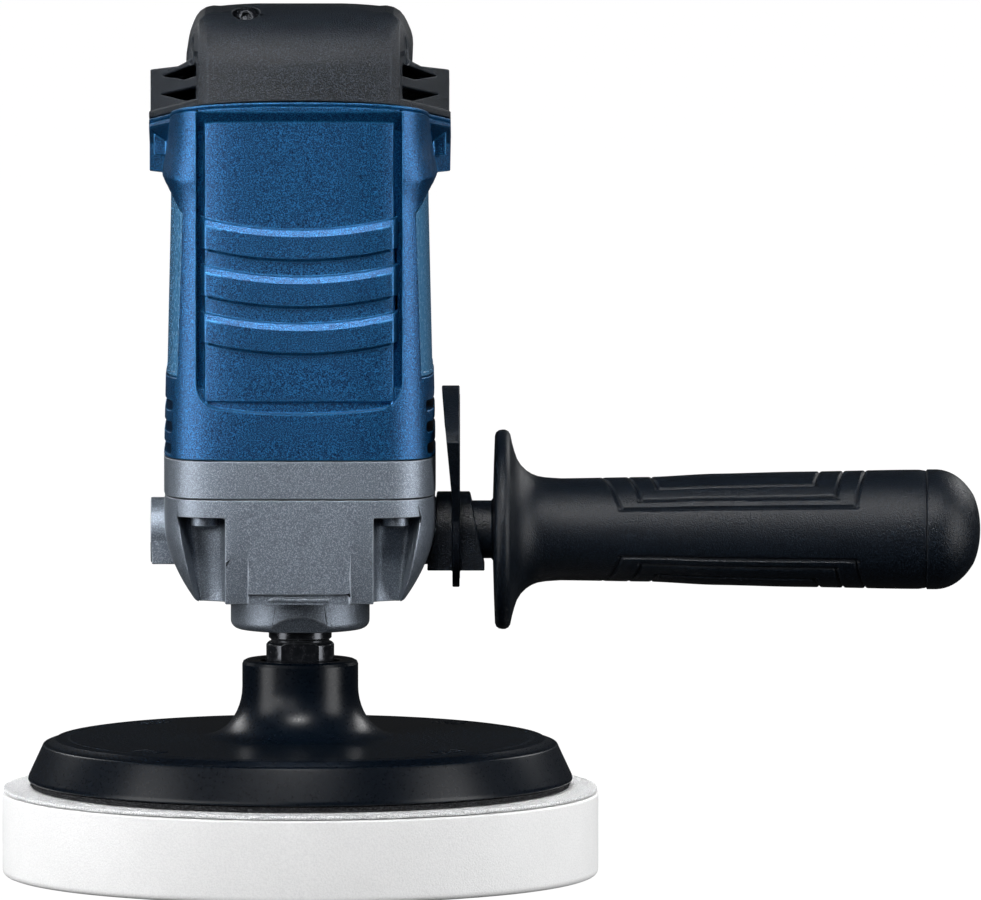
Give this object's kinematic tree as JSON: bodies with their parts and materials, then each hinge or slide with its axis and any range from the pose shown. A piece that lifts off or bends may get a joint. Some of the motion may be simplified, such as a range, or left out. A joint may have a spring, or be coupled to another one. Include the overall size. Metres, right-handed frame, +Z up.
{
  "type": "rotary polisher",
  "caption": "Vertical rotary polisher with a foam pad on a backing plate, ribbed motor housing, die-cast gearbox, side handle with hand guard and rear trigger handle.",
  "frame": {"origin": "middle of the foam pad's underside, on the spindle's axis", "axes": "+Z up along the spindle, +X towards the side handle, +Y towards the rear main handle"},
  "size_m": [0.2951, 0.3, 0.2647],
  "materials": {
    "foam": "white open-cell foam",
    "fleece": "white loop fleece",
    "hook": "black hook tape",
    "blue_plastic": "fine texture with metallic flakes",
    "black_plastic": "spark-textured",
    "plate_plastic": "satin",
    "soft_rubber": "matte",
    "die_casting": "painted silver, satin",
    "steel": "ground",
    "dark_steel": "black oxide",
    "bronze": "sintered",
    "copper": "enamelled",
    "lamination": "stacked sheet",
    "carbon": "matte",
    "nylon": "natural",
    "board": "resist",
    "capacitor": "moulded",
    "felt": "oiled felt",
    "label": "satin film"
  },
  "bodies": {
    "polisher_body": {"motor_housing": "blue_plastic", "handle_shell_left": "blue_plastic", "handle_shell_right": "blue_plastic", "top_cover": "black_plastic", "switch_module": "black_plastic", "hand_guard": "black_plastic", "aux_handle_grip": "black_plastic", "aux_handle_end_cap": "black_plastic", "handle_soft_grip": "soft_rubber", "cable_gland": "soft_rubber", "gear_housing": "die_casting", "intermediate_flange": "die_casting", "bearing_bridge": "die_casting", "aux_handle_stud": "steel", "brush_spring_left": "steel", "brush_spring_right": "steel", "spindle_bearing_lower": "steel", "armature_bearing_lower": "steel", "armature_bearing_upper": "steel", "gear_screw_front_left": "dark_steel", "gear_screw_front_right": "dark_steel", "gear_screw_rear_left": "dark_steel", "gear_screw_rear_right": "dark_steel", "cover_screw": "dark_steel", "handle_screw_front": "dark_steel", "handle_screw_rear": "dark_steel", "spindle_bush_upper": "bronze", "countershaft_bush_lower": "bronze", "countershaft_bush_upper": "bronze", "brush_holder_left": "bronze", "brush_holder_right": "bronze", "field_coil_left": "copper", "field_coil_right": "copper", "stator_core": "lamination", "carbon_brush_left": "carbon", "carbon_brush_right": "carbon", "air_baffle": "nylon", "cable_clamp": "nylon", "speed_control_board": "board", "suppression_capacitor": "capacitor", "spindle_seal": "felt", "side_label_left": "label", "side_label_right": "label"},
    "pad_spindle": {"spindle": "dark_steel", "spindle_gear": "steel", "plate_thread_insert": "steel", "backing_plate": "plate_plastic", "hook_layer": "hook", "foam_loop_backing": "fleece", "foam_pad": "foam"},
    "countershaft": {"countershaft": "dark_steel", "intermediate_gear": "steel"},
    "armature": {"armature_shaft": "dark_steel", "armature_core": "lamination", "armature_winding": "copper", "commutator": "copper", "cooling_fan": "black_plastic"},
    "trigger": {"trigger": "black_plastic"},
    "lock_on_button": {"lock_on_button": "black_plastic"},
    "speed_thumbwheel": {"speed_thumbwheel": "black_plastic"}
  },
  "joints": [
    {"name": "spindle_spin", "type": "hinge", "parent": "polisher_body", "child": "pad_spindle", "pos_m": [0, 0, 0.085], "axis": [0, 0, 1], "continuous": true},
    {"name": "countershaft_spin", "type": "hinge", "parent": "polisher_body", "child": "countershaft", "pos_m": [0, 0.018, 0.1], "axis": [0, 0, 1], "continuous": true},
    {"name": "armature_spin", "type": "hinge", "parent": "polisher_body", "child": "armature", "pos_m": [0, 0, 0.17], "axis": [0, 0, 1], "continuous": true},
    {"name": "trigger_pull", "type": "hinge", "parent": "polisher_body", "child": "trigger", "pos_m": [0, 0.088, 0.21], "axis": [1, 0, 0], "range_deg": [0, 8], "stiffness_Nm_per_rad": 0.4, "springref_deg": -8.59},
    {"name": "lock_on_press", "type": "slide", "parent": "polisher_body", "child": "lock_on_button", "axis": [1, 0, 0], "range_m": [0, 0.0025], "stiffness_N_per_m": 400, "springref_m": -0.002},
    {"name": "speed_dial", "type": "hinge", "parent": "polisher_body", "child": "speed_thumbwheel", "pos_m": [0, 0.084, 0.2362], "axis": [1, 0, 0], "range_deg": [0, 270]}
  ],
  "couplings": [
    {"joint": "countershaft_spin", "follows": "spindle_spin", "ratio": -3},
    {"joint": "armature_spin", "follows": "spindle_spin", "ratio": 10.5}
  ]
}
